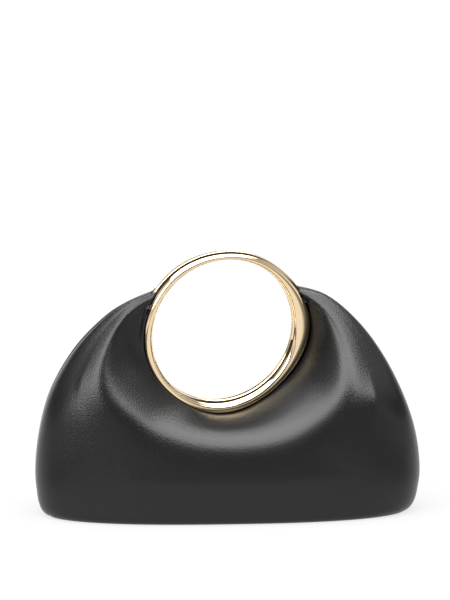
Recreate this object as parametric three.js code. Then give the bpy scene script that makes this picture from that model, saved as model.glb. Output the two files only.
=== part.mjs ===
// A small handbag of smooth leather, carried by a round metal ring.
// Millimetres. +X is the wearer's right as seen from the front, +Y is the back, +Z is up.
// The floor is at z = 0, and the middle of the bag is at x = 0 and y = 0.
import * as THREE from "three";

const { lerp, clamp, degToRad, radToDeg } = THREE.MathUtils;

// The leather body.
const bodyWidth = 245.6;
const crestHeight = 145.5;
const bodyDepth = 95;
const leatherWall = 2.2;
const planPower = 2.5;
const edgeRadius = 7;
const baseFullness = 2.5;
const shoulderReach = 18;
const shoulderLimit = 0.6;
const taperStart = 60;
const taperShare = 0.6;
const taperPower = 1.8;
const seamGap = 0.3;
const mouthGap = 6.5;

// The ring handle: two halves that close on each other.
const holeRadius = 47;
const ringWall = 10.6;
const ringHalfDepth = 8;
const holeEdgePower = 3.2;
const rimPower = 2.3;
const ringGap = 0.3;
const ringSide = -3.9;
const ringForward = 2;
const ringHeight = 117;
const ringYaw = degToRad(13.5);
const ringLean = degToRad(8.4);

// How the leather sits against the ring.
const ringClearance = 0.3;
const lipClearance = 2;
const lipReach = 0.4;
const lipCover = 1.7;
const tuckShare = 0.12;
const wrapShare = 0.4;
const lipShare = 0.8;
const underRise = 0.1;

// Fineness of the faceted solids.
const stepsPerRow = 3;
const ringSteps = 48;
const sectionSteps = 12;

const halfWidth = bodyWidth / 2;
const halfDepth = bodyDepth / 2;
const floorSnap = 0.01;
const outlineSteps = 8;
const circle = 360;

// The ring's section round the hole, seen from the front and counted from the right:
// wall is a share of ringWall, depth a share of ringHalfDepth.
const ringRows = [
  { at: 0, wall: 1.14, depth: 0.70 },
  { at: 45, wall: 0.67, depth: 0.78 },
  { at: 90, wall: 0.43, depth: 0.80 },
  { at: 135, wall: 0.51, depth: 0.86 },
  { at: 180, wall: 0.62, depth: 0.94 },
  { at: 225, wall: 0.66, depth: 0.98 },
  { at: 270, wall: 0.90, depth: 1.00 },
  { at: 315, wall: 0.74, depth: 0.84 },
];

// The leather, one row for each spoke from the ring to the outline, from the left crest
// round the bottom to the right crest.
//   at      place on the ring, in degrees
//   x, z    end of the spoke on the outline, shares of halfWidth and crestHeight
//   follow  how much of the ring's set-off from the middle the seam follows there
//   mouth   how far the mouth is open, share of mouthGap
//   lip     how far the leather rolls up in front of the ring: 0 not at all, 1 fully
//   full    how fully the leather is rounded out there
const outlineRows = [
  { at: 161, x: -0.37, z: 0.997, follow: 1, mouth: 1, lip: 0, full: 0.22 },
  { at: 168, x: -0.521, z: 0.94, follow: 0.8, mouth: 1, lip: 0, full: 0.5 },
  { at: 177, x: -0.651, z: 0.862, follow: 0.5, mouth: 0.9, lip: 0, full: 0.72 },
  { at: 188, x: -0.806, z: 0.718, follow: 0.2, mouth: 0.6, lip: 0, full: 0.9 },
  { at: 200, x: -0.932, z: 0.526, follow: 0, mouth: 0.2, lip: 0.1, full: 1 },
  { at: 212, x: -0.993, z: 0.316, follow: 0, mouth: 0, lip: 0.3, full: 1 },
  { at: 223, x: -1.002, z: 0.124, follow: 0, mouth: 0, lip: 0.6, full: 1 },
  { at: 232, x: -0.945, z: 0, follow: 0, mouth: 0, lip: 0.8, full: 1 },
  { at: 246, x: -0.69, z: 0, follow: 0, mouth: 0, lip: 1, full: 1 },
  { at: 270, x: -0.033, z: 0, follow: 0, mouth: 0, lip: 1, full: 1 },
  { at: 294, x: 0.62, z: 0, follow: 0, mouth: 0, lip: 0.8, full: 1 },
  { at: 309, x: 0.925, z: 0, follow: 0, mouth: 0, lip: 0.4, full: 1 },
  { at: 318, x: 1, z: 0.125, follow: 0, mouth: 0, lip: 0.2, full: 1 },
  { at: 330, x: 0.992, z: 0.302, follow: 0, mouth: 0, lip: 0, full: 1 },
  { at: 342, x: 0.932, z: 0.481, follow: 0, mouth: 0.2, lip: 0, full: 1 },
  { at: 353, x: 0.826, z: 0.668, follow: 0.3, mouth: 0.6, lip: 0, full: 0.7 },
  { at: 363, x: 0.688, z: 0.828, follow: 0.6, mouth: 0.9, lip: 0, full: 0.48 },
  { at: 371, x: 0.521, z: 0.945, follow: 0.9, mouth: 1, lip: 0, full: 0.32 },
  { at: 379, x: 0.345, z: 0.99, follow: 1, mouth: 1, lip: 0, full: 0.22 },
];

// The fold on the same spokes. Places are shares of the spoke, depths shares of halfDepth.
//   vs, vd  valley beside the ring
//   fs, fd  foot of the rolled fold
//   rs      crown of the fold
//   proud   how far the crown stands out of the body there, in millimetres
const foldRows = [
  { vs: 0.15, vd: 0.02, fs: 0.35, fd: 0.03, rs: 0.55, proud: 1 },
  { vs: 0.15, vd: 0.03, fs: 0.42, fd: 0.05, rs: 0.66, proud: 2 },
  { vs: 0.14, vd: 0.05, fs: 0.36, fd: 0.09, rs: 0.59, proud: 3.5 },
  { vs: 0.12, vd: 0.09, fs: 0.3, fd: 0.2, rs: 0.51, proud: 4.5 },
  { vs: 0.09, vd: 0.16, fs: 0.27, fd: 0.4, rs: 0.46, proud: 4 },
  { vs: 0.07, vd: 0.27, fs: 0.19, fd: 0.55, rs: 0.32, proud: 1.5 },
  { vs: 0.05, vd: 0.36, fs: 0.13, fd: 0.64, rs: 0.22, proud: -2 },
  { vs: 0.04, vd: 0.41, fs: 0.11, fd: 0.68, rs: 0.18, proud: -4 },
  { vs: 0.02, vd: 0.43, fs: 0.07, fd: 0.69, rs: 0.14, proud: -4.5 },
  { vs: 0.01, vd: 0.46, fs: 0.05, fd: 0.69, rs: 0.11, proud: -4.5 },
  { vs: 0.03, vd: 0.45, fs: 0.08, fd: 0.7, rs: 0.14, proud: -4.5 },
  { vs: 0.05, vd: 0.45, fs: 0.1, fd: 0.71, rs: 0.165, proud: -4 },
  { vs: 0.06, vd: 0.44, fs: 0.12, fd: 0.7, rs: 0.2, proud: -3 },
  { vs: 0.08, vd: 0.4, fs: 0.16, fd: 0.67, rs: 0.28, proud: -1.5 },
  { vs: 0.08, vd: 0.3, fs: 0.19, fd: 0.58, rs: 0.36, proud: 0 },
  { vs: 0.08, vd: 0.14, fs: 0.22, fd: 0.32, rs: 0.41, proud: 0.5 },
  { vs: 0.1, vd: 0.05, fs: 0.25, fd: 0.13, rs: 0.46, proud: 0.5 },
  { vs: 0.15, vd: 0.03, fs: 0.3, fd: 0.06, rs: 0.5, proud: 0.5 },
  { vs: 0.15, vd: 0.02, fs: 0.3, fd: 0.03, rs: 0.45, proud: 0 },
];
const spokeRows = outlineRows.map((row, i) => ({ ...row, ...foldRows[i] }));

// Steps of a profile from the ring to the crown of the fold, one for each stretch.
const innerSteps = [1, 2, 2, 2, 3];
const lipStep = innerSteps[0] + innerSteps[1];
const crownStep = innerSteps.reduce((sum, steps) => sum + steps, 0);

// How the fold is rounded between the lip and the body: passes, and the share of each.
const easePasses = 4;
const easeShare = 0.5;
const easedPastCrown = 2;

// Places past the crown: on a spoke that ends at the side, on one that ends on the floor,
// and how much of the depth is left under the base.
const sideShares = [0.1, 0.24, 0.42, 0.6, 0.76, 0.88, 0.96, 0.99, 1];
const floorShares = [0.1, 0.28, 0.5, 0.72, 0.88, 0.965, 1, 1, 1];
const baseShares = [1, 1, 1, 1, 1, 1, 1, 0.5, 0];

// A smooth value between four even neighbours.
function blend(a, b, c, d, t) {
  const slopeIn = (c - a) / 2;
  const slopeOut = (d - b) / 2;
  const lift = 2 * b - 2 * c + slopeIn + slopeOut;
  const turn = 3 * c - 3 * b - 2 * slopeIn - slopeOut;
  return ((lift * t + turn) * t + slopeIn) * t + b;
}

// One row between the rows of an open table, at a place counted in rows.
function rowBetween(rows, place) {
  const start = Math.min(Math.floor(place), rows.length - 2);
  const pick = (offset) => rows[clamp(start + offset, 0, rows.length - 1)];
  const row = {};
  for (const key of Object.keys(rows[0])) {
    row[key] = blend(pick(-1)[key], pick(0)[key], pick(1)[key], pick(2)[key], place - start);
  }
  return row;
}

// Wall and half depth of the ring at an angle in degrees.
function ringSection(angle) {
  const count = ringRows.length;
  const place = ((angle % circle) + circle) % circle / circle * count;
  const start = Math.floor(place);
  const pick = (offset) => ringRows[(start + offset + count) % count];
  const value = (key) => blend(pick(-1)[key], pick(0)[key], pick(1)[key], pick(2)[key], place - start);
  return { wall: ringWall * value("wall"), depth: ringHalfDepth * value("depth") };
}

// The ring's own frame: its axis is Y, and it leans forward and turns to the right.
const ringPose = new THREE.Matrix4();
ringPose.makeRotationZ(ringYaw);
ringPose.multiply(new THREE.Matrix4().makeRotationX(ringLean));
ringPose.setPosition(ringSide, -ringForward, ringHeight);

// A place beside the ring: angle in degrees, distance from its axis, set-off along it.
function besideRing(angle, radius, along) {
  const turn = degToRad(angle);
  const place = new THREE.Vector3(radius * Math.cos(turn), along, radius * Math.sin(turn));
  return place.applyMatrix4(ringPose);
}

// A place of the leather, moved out to the ring's rim where it would lie inside the ring.
function clearOfRing(place) {
  const local = place.clone().applyMatrix4(ringPose.clone().invert());
  const radius = Math.hypot(local.x, local.z);
  const section = ringSection(radToDeg(Math.atan2(local.z, local.x)));
  const along = Math.min(Math.abs(local.y) / (section.depth + ringClearance), 1);
  const rounding = Math.pow(1 - Math.pow(along, rimPower), 1 / rimPower);
  const rim = holeRadius + section.wall * (1 + rounding) / 2 + ringClearance;
  if (radius >= rim || along >= 1) {
    return place;
  }
  local.x *= rim / radius;
  local.z *= rim / radius;
  return local.applyMatrix4(ringPose);
}

// The outline of the body, as fine points from the left crest round the floor to the right crest.
const outline = [];
for (let i = 0; i <= (spokeRows.length - 1) * outlineSteps; i += 1) {
  const row = rowBetween(spokeRows, i / outlineSteps);
  outline.push({ x: row.x * halfWidth, z: Math.max(row.z, 0) * crestHeight });
}

// Half the width of the body at a height, on the left or the right.
function widthAt(x, z) {
  const line = outline.filter((point) => Math.sign(point.x) === Math.sign(x || 1));
  if (x < 0) {
    line.reverse();
  }
  const high = line.findIndex((point) => point.z > z);
  if (high < 0) {
    return Math.abs(line[line.length - 1].x);
  }
  const low = Math.max(high - 1, 0);
  const rise = line[high].z - line[low].z;
  const share = rise > 0 ? (z - line[low].z) / rise : 0;
  return Math.abs(lerp(line[low].x, line[high].x, share));
}

// How far the body stands out from its middle: oval across, with a rounded lower edge.
function bodyAt(x, z) {
  const across = Math.min(Math.abs(x) / widthAt(x, z), 1);
  const oval = Math.pow(1 - Math.pow(across, planPower), 1 / planPower);
  const lift = 1 - Math.min(z / edgeRadius, 1);
  const edge = edgeRadius * (1 - Math.sqrt(1 - lift * lift)) / halfDepth;
  const height = Math.max(z - taperStart, 0) / (crestHeight - taperStart);
  return halfDepth * oval * (1 - edge) * (1 - taperShare * Math.pow(height, taperPower));
}

// The profile of one leather panel along one spoke. side is -1 in front and 1 behind.
function profile(row, side) {
  const section = ringSection(row.at);
  const rim = holeRadius + section.wall + ringClearance;
  const roll = side < 0 ? row.lip : 0;
  const start = besideRing(row.at, rim, side * section.depth * tuckShare);
  const underDepth = section.depth * wrapShare * (1 + roll);
  const under = besideRing(row.at, rim + underRise, side * underDepth);
  const lipDepth = section.depth * lerp(lipShare, 1, roll) + lipClearance * roll;
  const lip = besideRing(row.at, rim - lipReach - roll * lipCover, side * lipDepth);
  const middle = besideRing(row.at, rim, 0).y;
  const gap = seamGap + (mouthGap - seamGap) * clamp(row.mouth, 0, 1);
  const end = { x: row.x * halfWidth, z: Math.max(row.z, 0) * crestHeight };

  // A place on the spoke, standing out from the middle. The middle leans with the ring.
  const onSpoke = (share, stand) => {
    const nearRing = Math.max(1 - Math.pow(share / row.rs, 2), 0);
    const nearSeam = Math.pow(1 - Math.min(stand / halfDepth, 1), 2);
    const leaning = middle * lerp(nearRing, nearSeam, row.follow);
    const y = leaning + side * (gap / 2 + stand * (1 - gap / bodyDepth));
    const x = lerp(start.x, end.x, share);
    const z = lerp(start.z, end.z, share);
    return new THREE.Vector3(x, y, z < floorSnap ? 0 : z);
  };

  // A place on the body past the crown of the fold, which stands proud of it or behind it.
  const spoke = Math.hypot(end.x - start.x, end.z - start.z);
  const reach = Math.min(shoulderReach, shoulderLimit * (1 - row.rs) * spoke);
  const bodyOnSpoke = (share, left) => {
    const x = lerp(start.x, end.x, share);
    const z = Math.max(lerp(start.z, end.z, share), 0);
    const near = Math.max(1 - (share - row.rs) * spoke / reach, 0);
    const swell = near * near * (row.proud > 0 ? 3 - 2 * near : 1);
    return onSpoke(share, (bodyAt(x, z) * row.full + row.proud * swell) * left);
  };

  const crown = bodyOnSpoke(row.rs, 1);
  const valley = onSpoke(row.vs, row.vd * halfDepth);
  const foot = onSpoke(row.fs, row.fd * halfDepth);
  const base = Math.min(baseFullness * bodyAt(end.x, end.z) / halfDepth, 1);
  const tail = sideShares.map((sideShare, k) => {
    const share = lerp(sideShare, floorShares[k], base);
    const left = k === sideShares.length - 1 ? 0 : lerp(1, baseShares[k], base);
    return bodyOnSpoke(lerp(row.rs, 1, share), left);
  });

  const knots = [start, under, lip, valley, foot, crown, tail[0], tail[1]];
  const curve = new THREE.CatmullRomCurve3(knots, false, "centripetal");
  const points = [];
  innerSteps.forEach((steps, span) => {
    for (let step = 0; step < steps; step += 1) {
      points.push(curve.getPoint((span + step / steps) / (knots.length - 1)));
    }
  });
  return [...points, crown, ...tail];
}

// The places from the lip to the body drawn towards their neighbours, to round the fold.
function easeFold(grid) {
  for (let pass = 0; pass < easePasses; pass += 1) {
    const before = grid.map((line) => line.map((point) => point.clone()));
    for (let i = 1; i < grid.length - 1; i += 1) {
      for (let j = lipStep + 1; j <= crownStep + easedPastCrown; j += 1) {
        const near = before[i - 1][j].clone().add(before[i + 1][j]);
        near.add(before[i][j - 1]).add(before[i][j + 1]).divideScalar(4);
        grid[i][j].lerp(near, easeShare);
      }
    }
  }
}

// The outward direction at one place of a grid of points.
function gridNormal(grid, i, j, side) {
  const rows = grid.length - 1;
  const columns = grid[0].length - 1;
  const across = grid[Math.min(i + 1, rows)][j].clone().sub(grid[Math.max(i - 1, 0)][j]);
  const along = grid[i][Math.min(j + 1, columns)].clone().sub(grid[i][Math.max(j - 1, 0)]);
  const normal = new THREE.Vector3().crossVectors(along, across).multiplyScalar(-side);
  if (j === columns) {
    const spoke = new THREE.Vector3().subVectors(grid[i][j], grid[i][0]);
    normal.set(across.z, 0, -across.x);
    normal.multiplyScalar(Math.sign(normal.dot(spoke)));
  }
  return normal.normalize();
}

// A body from its corner values and its faces.
function solid(corners, faces) {
  const geometry = new THREE.BufferGeometry();
  geometry.setAttribute("position", new THREE.Float32BufferAttribute(corners, 3));
  geometry.setIndex(faces);
  geometry.computeVertexNormals();
  return geometry;
}

// A closed wall: an outer grid, the inner grid behind it, and strips round the four edges.
function wallGeometry(outer, inner, flip) {
  const rows = outer.length;
  const columns = outer[0].length;
  const last = columns - 1;
  const vertices = [...outer.flat(), ...inner.flat()];
  const faces = [];
  const at = (layer, i, j) => layer * rows * columns + i * columns + j;
  const quad = (a, b, c, d) => faces.push(a, b, c, a, c, d);
  for (let i = 0; i < rows - 1; i += 1) {
    for (let j = 0; j < columns - 1; j += 1) {
      quad(at(0, i, j), at(0, i, j + 1), at(0, i + 1, j + 1), at(0, i + 1, j));
      quad(at(1, i, j), at(1, i + 1, j), at(1, i + 1, j + 1), at(1, i, j + 1));
    }
  }
  for (let i = 0; i < rows - 1; i += 1) {
    quad(at(0, i, 0), at(0, i + 1, 0), at(1, i + 1, 0), at(1, i, 0));
    quad(at(0, i + 1, last), at(0, i, last), at(1, i, last), at(1, i + 1, last));
  }
  for (let j = 0; j < columns - 1; j += 1) {
    quad(at(0, 0, j + 1), at(0, 0, j), at(1, 0, j), at(1, 0, j + 1));
    quad(at(0, rows - 1, j), at(0, rows - 1, j + 1), at(1, rows - 1, j + 1), at(1, rows - 1, j));
  }
  if (flip) {
    for (let k = 0; k < faces.length; k += 3) {
      [faces[k + 1], faces[k + 2]] = [faces[k + 2], faces[k + 1]];
    }
  }
  return solid(vertices.flatMap((v) => v.toArray()), faces);
}

// One half of the leather body.
function panelGeometry(side) {
  const drawn = [];
  const count = (spokeRows.length - 1) * stepsPerRow;
  for (let i = 0; i <= count; i += 1) {
    drawn.push(profile(rowBetween(spokeRows, i / stepsPerRow), side));
  }
  easeFold(drawn);
  const outer = drawn.map((line) => line.map(clearOfRing));
  const inner = outer.map((line, i) => line.map((point, j) => {
    const place = point.clone().addScaledVector(gridNormal(outer, i, j, side), -leatherWall);
    const seam = line[line.length - 1].y;
    if (j > crownStep && side * (place.y - seam) < 0) {
      place.y = seam;
    }
    return clearOfRing(place);
  }));
  return wallGeometry(outer, inner, side > 0);
}

// One half of the ring, from the flat face where the halves meet to the crown.
function ringGeometry(side) {
  const vertices = [];
  for (let i = 0; i < ringSteps; i += 1) {
    const angle = circle * i / ringSteps;
    const section = ringSection(angle);
    for (let j = 0; j <= sectionSteps; j += 1) {
      const turn = Math.PI * j / sectionSteps;
      const power = 2 / (j * 2 < sectionSteps ? holeEdgePower : rimPower);
      const across = -Math.sign(Math.cos(turn)) * Math.pow(Math.abs(Math.cos(turn)), power);
      const out = Math.pow(Math.sin(turn), power);
      const radius = holeRadius + section.wall * (1 + across) / 2;
      const along = side * (ringGap / 2 + (section.depth - ringGap / 2) * out);
      const around = degToRad(angle);
      vertices.push(radius * Math.cos(around), along, radius * Math.sin(around));
    }
  }
  const width = sectionSteps + 1;
  const faces = [];
  for (let i = 0; i < ringSteps; i += 1) {
    const next = (i + 1) % ringSteps;
    for (let j = 0; j < width; j += 1) {
      const step = (j + 1) % width;
      const a = i * width + j;
      const b = next * width + j;
      const c = next * width + step;
      const d = i * width + step;
      if (side > 0) {
        faces.push(a, b, c, a, c, d);
      } else {
        faces.push(a, c, b, a, d, c);
      }
    }
  }
  return solid(vertices, faces);
}

const leather = new THREE.MeshStandardMaterial({ color: 0x1b1b1c, roughness: 0.45, metalness: 0 });
const gold = new THREE.MeshStandardMaterial({ color: 0xe3cfa4, roughness: 0.12, metalness: 1 });

function named(name, geometry, material) {
  const mesh = new THREE.Mesh(geometry, material);
  mesh.name = name;
  return mesh;
}

const ring = new THREE.Group();
ring.applyMatrix4(ringPose);
ring.add(named("ring_front", ringGeometry(-1), gold));
ring.add(named("ring_back", ringGeometry(1), gold));

const bag = new THREE.Group();
bag.add(named("front_panel", panelGeometry(-1), leather));
bag.add(named("back_panel", panelGeometry(1), leather));
bag.add(ring);

export default bag;
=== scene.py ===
import math

import bpy
import numpy as np
from mathutils import Matrix, Vector


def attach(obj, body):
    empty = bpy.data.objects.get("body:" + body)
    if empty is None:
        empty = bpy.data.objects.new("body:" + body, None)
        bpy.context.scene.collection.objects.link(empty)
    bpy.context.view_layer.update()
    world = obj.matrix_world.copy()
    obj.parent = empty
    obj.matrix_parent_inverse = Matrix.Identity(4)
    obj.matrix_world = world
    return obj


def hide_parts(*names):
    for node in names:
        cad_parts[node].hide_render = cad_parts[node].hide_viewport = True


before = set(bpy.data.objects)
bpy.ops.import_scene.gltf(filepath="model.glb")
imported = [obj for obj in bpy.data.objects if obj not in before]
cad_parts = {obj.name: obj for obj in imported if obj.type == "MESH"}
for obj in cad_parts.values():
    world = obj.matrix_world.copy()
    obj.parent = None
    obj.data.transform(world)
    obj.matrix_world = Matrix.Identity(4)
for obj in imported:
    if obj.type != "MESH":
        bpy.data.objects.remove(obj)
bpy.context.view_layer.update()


# Ring handle
# The round handle is cast in two halves of zinc alloy, closed face to face round the hole,
# then polished and plated pale gold. It passes through the mouth of the bag.
mm = 0.001
full_turn = 360.0
hole_radius = 47.0
ring_wall = 10.6
ring_half_depth = 8.0
ring_parting = 0.12
parting_edge = 0.25
hole_edge_power = 2.8
rim_power = 2.3
ring_side = -3.9
ring_forward = 2.0
ring_height = 117.0
ring_yaw = math.radians(13.5)
ring_lean = math.radians(8.4)
ring_steps = 288
section_steps = 48

# at: degrees round the hole from the right, wall: share of ring_wall, depth: of ring_half_depth
ring_rows = np.array([
    (0, 1.14, 0.70),
    (45, 0.67, 0.78),
    (90, 0.43, 0.80),
    (135, 0.51, 0.86),
    (180, 0.62, 0.94),
    (225, 0.66, 0.98),
    (270, 0.90, 1.00),
    (315, 0.74, 0.84),
])


def blend(a, b, c, d, t):
    """A smooth value between four even neighbours."""
    slope_in = (c - a) / 2
    slope_out = (d - b) / 2
    lift = 2 * b - 2 * c + slope_in + slope_out
    turn = 3 * c - 3 * b - 2 * slope_in - slope_out
    return ((lift * t + turn) * t + slope_in) * t + b


def ring_section(angle):
    """Wall and half depth of the ring at an angle in degrees."""
    count = len(ring_rows)
    place = (angle % full_turn) / full_turn * count
    start = int(place)
    near = [ring_rows[(start + offset) % count] for offset in (-1, 0, 1, 2)]
    row = blend(*near, place - start)
    return ring_wall * row[1], ring_half_depth * row[2]


ring_pose = (
    Matrix.Translation((ring_side, -ring_forward, ring_height))
    @ Matrix.Rotation(ring_yaw, 4, "Z")
    @ Matrix.Rotation(ring_lean, 4, "X")
)
ring_turn = np.array(ring_pose.to_3x3())
ring_place = np.array(ring_pose.translation)


def beside_ring(angle, radius, along):
    """A place beside the ring: degrees round it, distance from its axis, set-off along it."""
    turn = math.radians(angle)
    local = np.array([radius * math.cos(turn), along, radius * math.sin(turn)])
    return ring_turn @ local + ring_place


def mesh_piece(name, points, faces):
    """A smooth-shaded piece from points in millimetres."""
    mesh = bpy.data.meshes.new(name)
    mesh.from_pydata((np.asarray(points) * mm).tolist(), [], faces)
    mesh.update()
    mesh.shade_smooth()
    piece = bpy.data.objects.new(name, mesh)
    bpy.context.scene.collection.objects.link(piece)
    return piece


def ring_half(name, side):
    """One half of the ring, with a fine eased edge where it meets the other half."""
    points = []
    for i in range(ring_steps):
        angle = full_turn * i / ring_steps
        wall, depth = ring_section(angle)
        for j in range(section_steps + 1):
            turn = math.pi * j / section_steps
            power = 2 / (hole_edge_power if j * 2 < section_steps else rim_power)
            across = -math.copysign(abs(math.cos(turn)) ** power, math.cos(turn))
            out = math.sin(turn) ** power if 0 < j < section_steps else 0.0
            along = ring_parting / 2 + (depth - ring_parting / 2) * out
            ease = max(0.0, 1 - (along - ring_parting / 2) / parting_edge)
            across *= 1 - parting_edge / wall * ease * ease
            radius = hole_radius + wall * (1 + across) / 2
            points.append(beside_ring(angle, radius, side * along))
    width = section_steps + 1
    faces = []
    for i in range(ring_steps):
        here = i * width
        there = (i + 1) % ring_steps * width
        for j in range(width):
            step = (j + 1) % width
            face = (here + j, there + j, there + step, here + step)
            faces.append(face if side > 0 else face[::-1])
    return mesh_piece(name, points, faces)


gold_tint = (0.86, 0.68, 0.44, 1)
gold_roughness = 0.07
polished_gold = bpy.data.materials.new("polished pale gold")
polished_gold.use_nodes = True
gold_shader = polished_gold.node_tree.nodes["Principled BSDF"]
gold_shader.inputs["Base Color"].default_value = gold_tint
gold_shader.inputs["Metallic"].default_value = 1.0
gold_shader.inputs["Roughness"].default_value = gold_roughness

ring_front = ring_half("ring_front_polished", -1)
ring_back = ring_half("ring_back_polished", 1)
for half, node in ((ring_front, "ring_front"), (ring_back, "ring_back")):
    half.data.materials.append(polished_gold)
    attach(half, "root")
    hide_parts(node)


# Front leather panel
# The front half of the bag is one piece of black nappa leather about 2 mm thick. It is gathered
# round the ring, rolls over into a thick U-shaped fold and falls from there to the base.
body_width = 245.6
crest_height = 145.5
body_depth = 95.0
leather_wall = 2.2
plan_power = 2.5
edge_radius = 5.0
base_fullness = 2.5
shoulder_reach = 18.0
shoulder_limit = 0.6
taper_start = 60.0
taper_share = 0.6
taper_power = 1.8
seam_gap = 0.3
mouth_gap = 6.5
ring_clearance = 0.15
lip_clearance = 2.0
lip_reach = 0.4
lip_cover = 3.0
tuck_share = 0.12
wrap_share = 0.4
lip_share = 0.8
under_rise = 0.1
half_width = body_width / 2
half_depth = body_depth / 2

# The spokes of a panel, from the left crest round the bottom to the right crest.
# at: place on the ring in degrees; x, z: end of the spoke on the outline, shares of half_width
# and crest_height; follow: how far the seam follows the ring; mouth: how far it is open;
# lip: roll in front of the ring; full: how fully the leather is rounded out
spoke_columns = ("at", "x", "z", "follow", "mouth", "lip", "full")
spoke_rows = np.array([
    (161, -0.370, 0.997, 1.0, 1.0, 0.0, 0.22),
    (168, -0.521, 0.940, 0.8, 1.0, 0.0, 0.50),
    (177, -0.651, 0.862, 0.5, 0.9, 0.0, 0.72),
    (188, -0.806, 0.718, 0.2, 0.6, 0.0, 0.90),
    (200, -0.932, 0.526, 0.0, 0.2, 0.1, 1.00),
    (212, -0.993, 0.316, 0.0, 0.0, 0.3, 1.00),
    (223, -1.002, 0.124, 0.0, 0.0, 0.6, 1.00),
    (232, -0.945, 0.000, 0.0, 0.0, 0.8, 1.00),
    (246, -0.690, 0.000, 0.0, 0.0, 1.0, 1.00),
    (270, -0.033, 0.000, 0.0, 0.0, 1.0, 1.00),
    (294, 0.620, 0.000, 0.0, 0.0, 0.8, 1.00),
    (309, 0.925, 0.000, 0.0, 0.0, 0.4, 1.00),
    (318, 1.000, 0.125, 0.0, 0.0, 0.2, 1.00),
    (330, 0.992, 0.302, 0.0, 0.0, 0.0, 1.00),
    (342, 0.932, 0.481, 0.0, 0.2, 0.0, 1.00),
    (353, 0.826, 0.668, 0.3, 0.6, 0.0, 0.70),
    (363, 0.688, 0.828, 0.6, 0.9, 0.0, 0.48),
    (371, 0.521, 0.945, 0.9, 1.0, 0.0, 0.32),
    (379, 0.345, 0.990, 1.0, 1.0, 0.0, 0.22),
])

# The fold on the same spokes. Places are shares of the spoke, depths of half_depth.
# vs, vd: valley beside the ring; fs, fd: foot of the rolled fold; rs: its crown;
# proud: how far the crown stands out of the body there, in millimetres
fold_columns = ("vs", "vd", "fs", "fd", "rs", "proud")
fold_rows = np.array([
    (0.15, 0.02, 0.35, 0.03, 0.55, 1.0),
    (0.15, 0.03, 0.42, 0.05, 0.66, 2.0),
    (0.14, 0.05, 0.36, 0.09, 0.59, 3.5),
    (0.12, 0.09, 0.30, 0.20, 0.51, 4.5),
    (0.09, 0.16, 0.27, 0.40, 0.46, 4.0),
    (0.07, 0.27, 0.19, 0.55, 0.32, 1.5),
    (0.05, 0.36, 0.13, 0.64, 0.22, -2.0),
    (0.04, 0.41, 0.11, 0.68, 0.18, -4.0),
    (0.02, 0.43, 0.07, 0.69, 0.14, -4.5),
    (0.01, 0.46, 0.05, 0.69, 0.11, -4.5),
    (0.03, 0.45, 0.08, 0.70, 0.14, -4.5),
    (0.05, 0.45, 0.10, 0.71, 0.165, -4.0),
    (0.06, 0.44, 0.12, 0.70, 0.20, -3.0),
    (0.08, 0.40, 0.16, 0.67, 0.28, -1.5),
    (0.08, 0.30, 0.19, 0.58, 0.36, 0.0),
    (0.08, 0.16, 0.20, 0.38, 0.41, 1.0),
    (0.10, 0.06, 0.23, 0.20, 0.46, 1.0),
    (0.14, 0.03, 0.28, 0.09, 0.50, 1.0),
    (0.15, 0.02, 0.30, 0.03, 0.45, 0.0),
])
panel_columns = spoke_columns + fold_columns
panel_rows = np.hstack([spoke_rows, fold_rows])

# Places past the crown: on a spoke that ends at the side, on one that ends on the floor, and
# how much of the depth is left under the base.
side_shares = np.array([0, 0.1, 0.24, 0.42, 0.6, 0.76, 0.88, 0.96, 0.99, 1])
floor_shares = np.array([0, 0.1, 0.28, 0.5, 0.72, 0.88, 0.965, 1, 1, 1])
base_shares = np.array([1, 1, 1, 1, 1, 1, 1, 1, 0.5, 0])

steps_per_row = 12
outline_steps = 48
inner_steps = (6, 6, 8, 8, 10)
lip_step = sum(inner_steps[:2])
crown_step = sum(inner_steps)
tail_steps = 5
seam_steps = 14
seam_round = 1.1
smooth_passes = 200
smooth_share = 0.5
smooth_past_crown = 3
ring_search = 1.0
tiny = 1e-6


def row_between(place):
    """One row of the table at a place counted in rows, as a name to value table."""
    start = min(int(place), len(panel_rows) - 2)
    near = [panel_rows[min(max(start + k, 0), len(panel_rows) - 1)] for k in (-1, 0, 1, 2)]
    return dict(zip(panel_columns, blend(*near, place - start)))


outline = [row_between(i / outline_steps) for i in range((len(spoke_rows) - 1) * outline_steps + 1)]
outline_x = np.array([row["x"] for row in outline]) * half_width
outline_z = np.array([max(row["z"], 0) for row in outline]) * crest_height


def side_line(sign):
    """Heights and half widths of the outline on one side, from the floor up."""
    pick = np.sign(outline_x) == sign
    xs, zs = np.abs(outline_x[pick]), outline_z[pick]
    if sign < 0:
        xs, zs = xs[::-1], zs[::-1]
    first = np.nonzero(zs > 0)[0][0] - 1
    return np.maximum.accumulate(zs[first:]), xs[first:]


side_lines = {-1: side_line(-1), 1: side_line(1)}


def body_at(x, z):
    """How far the body stands out from its middle: oval across, with a rounded lower edge."""
    z = np.maximum(z, 0)
    left = np.interp(z, *side_lines[-1])
    right = np.interp(z, *side_lines[1])
    across = np.minimum(np.abs(x) / np.where(x < 0, left, right), 1)
    oval = (1 - across**plan_power) ** (1 / plan_power)
    lift = 1 - np.minimum(z / edge_radius, 1)
    edge = edge_radius * (1 - np.sqrt(1 - lift * lift)) / half_depth
    height = np.maximum(z - taper_start, 0) / (crest_height - taper_start)
    return half_depth * oval * (1 - edge) * (1 - taper_share * height**taper_power)


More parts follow.
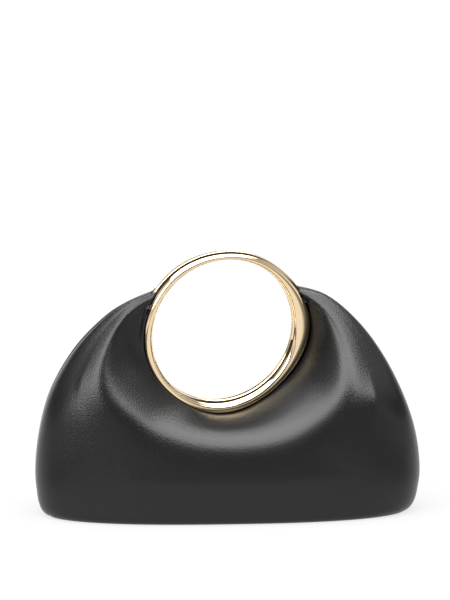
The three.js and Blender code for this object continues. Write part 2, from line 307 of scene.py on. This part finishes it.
def smooth_curve(knots, steps):
    """Points of a smooth curve through the knots, with the given steps in the first spans."""
    knots = [2 * knots[0] - knots[1], *knots]
    points = []
    for span, count in enumerate(steps):
        a, b, c, d = knots[span : span + 4]
        gaps = [math.sqrt(np.linalg.norm(q - p)) for p, q in ((a, b), (b, c), (c, d))]
        enter = (b - a) / gaps[0] - (c - a) / (gaps[0] + gaps[1]) + (c - b) / gaps[1]
        leave = (c - b) / gaps[1] - (d - b) / (gaps[1] + gaps[2]) + (d - c) / gaps[2]
        enter, leave = enter * gaps[1], leave * gaps[1]
        for step in range(count):
            t = step / count
            lift = 2 * b - 2 * c + enter + leave
            turn = 3 * c - 3 * b - 2 * enter - leave
            points.append(((lift * t + turn) * t + enter) * t + b)
    return points


def tail_places():
    """Places along the tail counted in table steps, closer together towards the seam."""
    plain = np.arange(1, (len(side_shares) - 2) * tail_steps + 1) / tail_steps
    last = 1 - (1 - np.arange(1, seam_steps + 1) / seam_steps) ** 2
    return np.concatenate([plain, len(side_shares) - 2 + last])


tail = tail_places()
tail_rows = np.arange(len(side_shares))
side_tail = np.interp(tail, tail_rows, side_shares)
floor_tail = np.interp(tail, tail_rows, floor_shares)
base_tail = np.interp(tail, tail_rows, base_shares)
end_tail = np.minimum(len(side_shares) - 1 - tail, 1)


def clear_of_ring(points):
    """The points, each moved out to the ring's rim where it would lie inside the ring."""
    local = (points - ring_place) @ ring_turn
    radius = np.hypot(local[:, 0], local[:, 2])
    within = (radius < hole_radius + ring_wall + ring_search) & (radius > ring_search)
    for k in np.nonzero(within)[0]:
        wall, depth = ring_section(math.degrees(math.atan2(local[k, 2], local[k, 0])))
        along = min(abs(local[k, 1]) / (depth + ring_clearance), 1)
        rounding = (1 - along**rim_power) ** (1 / rim_power)
        rim = hole_radius + wall * (1 + rounding) / 2 + ring_clearance
        if radius[k] < rim and along < 1:
            local[k, (0, 2)] *= rim / radius[k]
    return local @ ring_turn.T + ring_place


def profile(row, side):
    """One spoke of a leather panel, from the ring to the seam. side is -1 in front."""
    wall, depth = ring_section(row["at"])
    rim = hole_radius + wall + ring_clearance
    roll = row["lip"] if side < 0 else 0.0
    start = beside_ring(row["at"], rim, side * depth * tuck_share)
    under_depth = wrap_share * (1 + roll)
    under = beside_ring(row["at"], rim + under_rise, side * depth * under_depth)
    lip_depth = depth * (lip_share + (1 - lip_share) * roll) + lip_clearance * roll
    lip = beside_ring(row["at"], rim - lip_reach - roll * lip_cover, side * lip_depth)
    middle = beside_ring(row["at"], rim, 0)[1]
    gap = seam_gap + (mouth_gap - seam_gap) * min(max(row["mouth"], 0), 1)
    end = np.array([row["x"] * half_width, max(row["z"], 0) * crest_height])

    def on_spoke(share, stand):
        near_ring = np.maximum(1 - (share / row["rs"]) ** 2, 0)
        near_seam = (1 - np.minimum(stand / half_depth, 1)) ** 2
        leaning = middle * ((1 - row["follow"]) * near_ring + row["follow"] * near_seam)
        y = leaning + side * (gap / 2 + stand * (1 - gap / body_depth))
        x = start[0] + (end[0] - start[0]) * share
        z = start[2] + (end[1] - start[2]) * share
        return np.stack([x, y, np.maximum(z, 0)], axis=-1)

    spoke = math.hypot(end[0] - start[0], end[1] - start[2])
    reach = min(shoulder_reach, shoulder_limit * (1 - row["rs"]) * spoke)

    def body_on_spoke(share, left):
        x = start[0] + (end[0] - start[0]) * share
        z = start[2] + (end[1] - start[2]) * share
        near = np.maximum(1 - (share - row["rs"]) * spoke / reach, 0)
        swell = near * near * (3 - 2 * near if row["proud"] > 0 else 1)
        stand = body_at(x, z) * row["full"] + row["proud"] * swell
        return on_spoke(share, stand * left)

    base = min(base_fullness * body_at(end[0], end[1]) / half_depth, 1)
    share = side_tail + (floor_tail - side_tail) * base
    left = (1 + (base_tail - 1) * base) * np.minimum(end_tail / max(1 - base, tiny), 1)
    left = np.where(tail > len(side_shares) - 2, left, 1 + (base_tail - 1) * base)
    tail_points = body_on_spoke(row["rs"] + (1 - row["rs"]) * share, left)
    crown = body_on_spoke(np.array(row["rs"]), 1.0)
    valley = on_spoke(np.array(row["vs"]), row["vd"] * half_depth)
    foot = on_spoke(np.array(row["fs"]), row["fd"] * half_depth)
    first_tail = body_on_spoke(row["rs"] + (1 - row["rs"]) * side_shares[1:3], 1.0)
    knots = [start, under, lip, valley, foot, crown, first_tail[0], first_tail[1]]
    return np.array([*smooth_curve(knots, inner_steps), crown, *tail_points])


def eased(grid):
    """The grid with the points past the lip drawn towards their neighbours, to round the fold."""
    columns = np.arange(1, grid.shape[1] - 1)
    last_step = crown_step + smooth_past_crown * tail_steps
    rising = np.clip((columns - lip_step) / inner_steps[2], 0, smooth_share)
    falling = np.clip((last_step - columns) / tail_steps, 0, 1)
    share = (rising * falling)[:, None]
    for _ in range(smooth_passes):
        near = grid[:-2, 1:-1] + grid[2:, 1:-1] + grid[1:-1, :-2] + grid[1:-1, 2:]
        grid[1:-1, 1:-1] += (near / 4 - grid[1:-1, 1:-1]) * share
    return grid


def grid_normals(grid, side):
    """The outward direction at each place of a grid of points."""
    across = np.empty_like(grid)
    along = np.empty_like(grid)
    across[1:-1] = grid[2:] - grid[:-2]
    across[0], across[-1] = grid[1] - grid[0], grid[-1] - grid[-2]
    along[:, 1:-1] = grid[:, 2:] - grid[:, :-2]
    along[:, 0], along[:, -1] = grid[:, 1] - grid[:, 0], grid[:, -1] - grid[:, -2]
    normals = np.cross(along, across) * -side
    last = np.stack([across[:, -1, 2], 0 * across[:, -1, 0], -across[:, -1, 0]], axis=-1)
    spokes = grid[:, -1] - grid[:, 0]
    last *= np.sign((last * spokes).sum(axis=1))[:, None]
    normals[:, -1] = last
    return normals / np.maximum(np.linalg.norm(normals, axis=2, keepdims=True), tiny)


def leather_panel(name, side):
    """One half of the leather body: an outer skin, an inner skin and rounded edges."""
    count = (len(spoke_rows) - 1) * steps_per_row
    outer = np.array([profile(row_between(i / steps_per_row), side) for i in range(count + 1)])
    outer = eased(outer)
    normals = grid_normals(outer, side)
    seam = outer[:, -1:, 1]
    inner = outer - normals * leather_wall
    beyond = side * (inner[..., 1] - seam) < 0
    beyond[:, : crown_step + 1] = False
    inner[..., 1] = np.where(beyond, seam, inner[..., 1])

    # The edge at the seam and at the mouth is rounded over.
    stand = side * (outer[..., 1] - seam)
    close = np.clip(1 - stand / seam_round, 0, 1)
    close[:, : crown_step + 1] = 0
    inset = seam_round * (1 - np.sqrt(1 - close * close))
    outer = outer - normals * np.minimum(inset, leather_wall / 2)[..., None]

    shape = outer.shape
    outer = clear_of_ring(outer.reshape(-1, 3)).reshape(shape)
    inner = clear_of_ring(inner.reshape(-1, 3)).reshape(shape)
    outer[..., 2] = np.maximum(outer[..., 2], 0)
    rows, columns = shape[:2]
    points = np.concatenate([outer.reshape(-1, 3), inner.reshape(-1, 3)])

    def at(layer, i, j):
        return layer * rows * columns + i * columns + j

    faces = []
    for i in range(rows - 1):
        for j in range(columns - 1):
            faces.append((at(0, i, j), at(0, i, j + 1), at(0, i + 1, j + 1), at(0, i + 1, j)))
            faces.append((at(1, i, j), at(1, i + 1, j), at(1, i + 1, j + 1), at(1, i, j + 1)))
        last = columns - 1
        faces.append((at(0, i, 0), at(0, i + 1, 0), at(1, i + 1, 0), at(1, i, 0)))
        faces.append((at(0, i + 1, last), at(0, i, last), at(1, i, last), at(1, i + 1, last)))
    for j in range(columns - 1):
        last = rows - 1
        faces.append((at(0, 0, j + 1), at(0, 0, j), at(1, 0, j), at(1, 0, j + 1)))
        faces.append((at(0, last, j), at(0, last, j + 1), at(1, last, j + 1), at(1, last, j)))
    if side > 0:
        faces = [face[::-1] for face in faces]
    return mesh_piece(name, points, faces)


nappa_tint = (0.0052, 0.0052, 0.0054, 1)
nappa_roughness = 0.28
nappa_gloss = 1.39
pores_per_metre = 1100
pore_detail = 2
grain_strength = 0.8
grain_depth = 0.0002
black_nappa = bpy.data.materials.new("black nappa leather")
black_nappa.use_nodes = True
nappa_nodes = black_nappa.node_tree.nodes
nappa_links = black_nappa.node_tree.links
nappa_shader = nappa_nodes["Principled BSDF"]
nappa_shader.inputs["Base Color"].default_value = nappa_tint
nappa_shader.inputs["Roughness"].default_value = nappa_roughness
nappa_shader.inputs["IOR"].default_value = nappa_gloss
nappa_place = nappa_nodes.new("ShaderNodeTexCoord")
pores = nappa_nodes.new("ShaderNodeTexNoise")
pores.inputs["Scale"].default_value = pores_per_metre
pores.inputs["Detail"].default_value = pore_detail
nappa_links.new(nappa_place.outputs["Object"], pores.inputs["Vector"])
grain = nappa_nodes.new("ShaderNodeBump")
grain.inputs["Strength"].default_value = grain_strength
grain.inputs["Distance"].default_value = grain_depth
nappa_links.new(pores.outputs["Fac"], grain.inputs["Height"])
nappa_links.new(grain.outputs["Normal"], nappa_shader.inputs["Normal"])

front = leather_panel("front_leather", -1)
front.data.materials.append(black_nappa)
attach(front, "root")
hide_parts("front_panel")


# Back leather panel
# The back half is cut and gathered like the front, of the same leather, and joins it in a seam
# down both sides and under the base.
back = leather_panel("back_leather", 1)
back.data.materials.append(black_nappa)
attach(back, "root")
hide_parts("back_panel")


# Studio
# A glowing white floor without an edge, with grey cards lying beside and before the bag, one wide
# soft light overhead, smaller ones at the front left and right, and a pale room around it.
def reckon(operation, *values):
    """One sum on values of a node tree."""
    tree = next(value.id_data for value in values if not isinstance(value, (int, float)))
    node = tree.nodes.new("ShaderNodeMath")
    node.operation = operation
    for socket, value in zip(node.inputs, values):
        if isinstance(value, (int, float)):
            socket.default_value = value
        else:
            tree.links.new(value, socket)
    return node.outputs[0]


def product(first, *others):
    """Values of a node tree multiplied together."""
    for other in others:
        first = reckon("MULTIPLY", first, other)
    return first


def fade(value, edge):
    """0 before a soft edge and 1 past it. The edge is the pair of places where it runs."""
    node = value.id_data.nodes.new("ShaderNodeMapRange")
    node.interpolation_type = "SMOOTHSTEP"
    node.inputs["From Min"].default_value = edge[0]
    node.inputs["From Max"].default_value = edge[1]
    value.id_data.links.new(value, node.inputs["Value"])
    return node.outputs["Result"]


# The floor. Each edge of a card is where it is still white and where it is grey, in metres.
floor_size = 24.0
floor_glow = 0.765
floor_white = 0.065
side_card_dark = 0.75
side_card_inside = (0.17, 0.23)
side_card_back = (0.02, -0.06)
side_card_front = (-0.6, -0.5)
front_card_dark = 0.5
front_card_back = (-0.42, -0.6)
front_card_front = (-1.3, -1.2)
card_outside = (0.6, 0.5)
bpy.ops.mesh.primitive_plane_add(size=floor_size, location=(0, 0, 0))
floor = bpy.context.object
floor.name = "studio_floor"
floor_paint = bpy.data.materials.new("matt white floor")
floor_paint.use_nodes = True
floor_nodes = floor_paint.node_tree.nodes
floor_links = floor_paint.node_tree.links
floor_shader = floor_nodes["Principled BSDF"]
floor_place = floor_nodes.new("ShaderNodeTexCoord")
floor_split = floor_nodes.new("ShaderNodeSeparateXYZ")
floor_links.new(floor_place.outputs["Object"], floor_split.inputs["Vector"])
floor_y = floor_split.outputs["Y"]
floor_aside = reckon("ABSOLUTE", floor_split.outputs["X"])
side_card = product(fade(floor_aside, side_card_inside), fade(floor_aside, card_outside))
side_card = product(side_card, fade(floor_y, side_card_back), fade(floor_y, side_card_front))
front_card = product(fade(floor_y, front_card_back), fade(floor_y, front_card_front))
front_card = product(front_card, fade(floor_aside, card_outside))
greyness = reckon(
    "MAXIMUM", product(side_card, side_card_dark), product(front_card, front_card_dark)
)
whiteness = reckon("SUBTRACT", 1.0, greyness)
floor_links.new(product(whiteness, floor_glow), floor_shader.inputs["Emission Strength"])
floor_links.new(product(whiteness, floor_white), floor_shader.inputs["Base Color"])
floor_shader.inputs["Emission Color"].default_value = (1, 1, 1, 1)
floor_shader.inputs["Roughness"].default_value = 1.0
floor_shader.inputs["Specular IOR Level"].default_value = 0.0
floor.data.materials.append(floor_paint)

# The room. Each edge of a light is where it is still dark and where it is lit. Behind and
# rightward say which way round the room, from -1 to 1, aside is rightward without its sign,
# and up is the upward part of the way.
room = bpy.data.worlds.new("studio room")
bpy.context.scene.world = room
room.use_nodes = True
room_nodes = room.node_tree.nodes
room_links = room.node_tree.links
way = room_nodes.new("ShaderNodeTexCoord")
way_split = room_nodes.new("ShaderNodeSeparateXYZ")
room_links.new(way.outputs["Generated"], way_split.inputs["Vector"])
way_x, way_y, up = way_split.outputs
least_level = 0.01
least_rise = 0.05
to_right = (-0.2, 0.2)
to_left = (0.2, -0.2)
level = reckon("SQRT", reckon("ADD", product(way_x, way_x), product(way_y, way_y)))
level = reckon("MAXIMUM", level, least_level)
behind = reckon("DIVIDE", way_y, level)
rightward = reckon("DIVIDE", way_x, level)
aside = reckon("ABSOLUTE", rightward)
on_right = fade(rightward, to_right)
on_left = fade(rightward, to_left)

# The light overhead, a rectangle on the ceiling. Its places are shares of the ceiling's height.
top_strength = 8.0
top_x = -0.08
top_y = -0.25
top_side_edge = (0.92, 0.72)
top_end_edge = (0.9, 0.7)
rise = reckon("MAXIMUM", up, least_rise)
from_top_x = reckon("ABSOLUTE", reckon("SUBTRACT", reckon("DIVIDE", way_x, rise), top_x))
from_top_y = reckon("ABSOLUTE", reckon("SUBTRACT", reckon("DIVIDE", way_y, rise), top_y))
top_light = product(fade(from_top_x, top_side_edge), fade(from_top_y, top_end_edge), top_strength)

# The lights at the front left and right. The left one reaches lower.
key_strength = 8.0
key_right_shift = 0.08
key_bottom = 0.45
key_left_drop = 0.3
key_inner_edge = (0.4, 0.55)
key_outer_edge = (0.95, 0.86)
key_back_edge = (0.1, -0.1)
key_bottom_edge = (0.0, 0.1)
key_top_edge = (0.75, 0.65)
key_side = reckon("ADD", aside, product(on_right, key_right_shift))
key_low = reckon("SUBTRACT", key_bottom, product(on_left, key_left_drop))
key_light = product(
    fade(key_side, key_inner_edge),
    fade(key_side, key_outer_edge),
    fade(behind, key_back_edge),
    fade(reckon("SUBTRACT", up, key_low), key_bottom_edge),
    fade(up, key_top_edge),
    key_strength,
)

# The pale walls: high ones at the sides, which end before the back at the left, lower ones at
# the front left and right, one behind, and a strip just above the floor in front.
dimmest = 0.05
high_wall_glow = 0.6
high_wall_edge = (0.4, 0.8)
high_wall_back_edge = (0.5, 0.3)
high_wall_bottom_edge = (0.25, 0.4)
high_wall_top_edge = (0.9, 0.6)
side_wall_glow = 0.8
side_wall_front_edge = (-0.9, -0.4)
side_wall_back_edge = (-0.1, -0.25)
back_wall_glow = 1.1
back_wall_edge = (0.78, 0.86)
low_wall_top_edge = (0.4, 0.25)
strip_glow = 0.5
strip_top_edge = (0.12, 0.02)
strip_back_edge = (0.2, 0.0)
high_wall = product(
    fade(aside, high_wall_edge),
    fade(up, high_wall_top_edge),
    reckon("MAXIMUM", fade(behind, high_wall_back_edge), on_right),
    high_wall_glow,
    fade(up, high_wall_bottom_edge),
)
side_wall = product(
    fade(behind, side_wall_front_edge), fade(behind, side_wall_back_edge), side_wall_glow
)
back_wall = product(fade(behind, back_wall_edge), back_wall_glow)
low_wall = product(reckon("ADD", side_wall, back_wall), fade(up, low_wall_top_edge))
strip = product(fade(up, strip_top_edge), fade(behind, strip_back_edge), strip_glow)
walls = reckon("MAXIMUM", low_wall, high_wall)
walls = reckon("MAXIMUM", walls, reckon("MAXIMUM", strip, dimmest))
glow = reckon("ADD", walls, reckon("MAXIMUM", top_light, key_light))

# The picture's own background is plain white, and the lights show only in what they light.
backdrop_glow = 1.05
room_light = room_nodes["Background"]
room_links.new(glow, room_light.inputs["Strength"])
room_light.inputs["Color"].default_value = (1, 1, 1, 1)
backdrop = room_nodes.new("ShaderNodeBackground")
backdrop.inputs["Color"].default_value = (1, 1, 1, 1)
backdrop.inputs["Strength"].default_value = backdrop_glow
seen = room_nodes.new("ShaderNodeLightPath")
choose = room_nodes.new("ShaderNodeMixShader")
room_links.new(seen.outputs["Is Camera Ray"], choose.inputs["Fac"])
room_links.new(room_light.outputs["Background"], choose.inputs[1])
room_links.new(backdrop.outputs["Background"], choose.inputs[2])
room_links.new(choose.outputs["Shader"], room_nodes["World Output"].inputs["Surface"])
bpy.context.scene.view_settings.view_transform = "Standard"


# Camera
# A long lens a little above the bag and a little to its left, as in the photograph.
camera_azimuth = math.radians(-4)
camera_elevation = math.radians(10)
camera_distance = 1.5
look_height = 0.072
picture_height = 0.384
aim_aside = -0.0019
aim_rise = 0.0639
sensor = 36.0
look_at = Vector((0, 0, look_height))
back_way = Vector((
    math.sin(camera_azimuth) * math.cos(camera_elevation),
    -math.cos(camera_azimuth) * math.cos(camera_elevation),
    math.sin(camera_elevation),
))
lens = bpy.data.cameras.new("studio camera")
lens.sensor_width = sensor
lens.lens = sensor * camera_distance / picture_height
camera = bpy.data.objects.new("studio camera", lens)
bpy.context.scene.collection.objects.link(camera)
camera.location = look_at + back_way * camera_distance
aim = look_at + Vector((aim_aside, 0, aim_rise))
camera.rotation_euler = (aim - camera.location).to_track_quat("-Z", "Y").to_euler()
bpy.context.scene.camera = camera
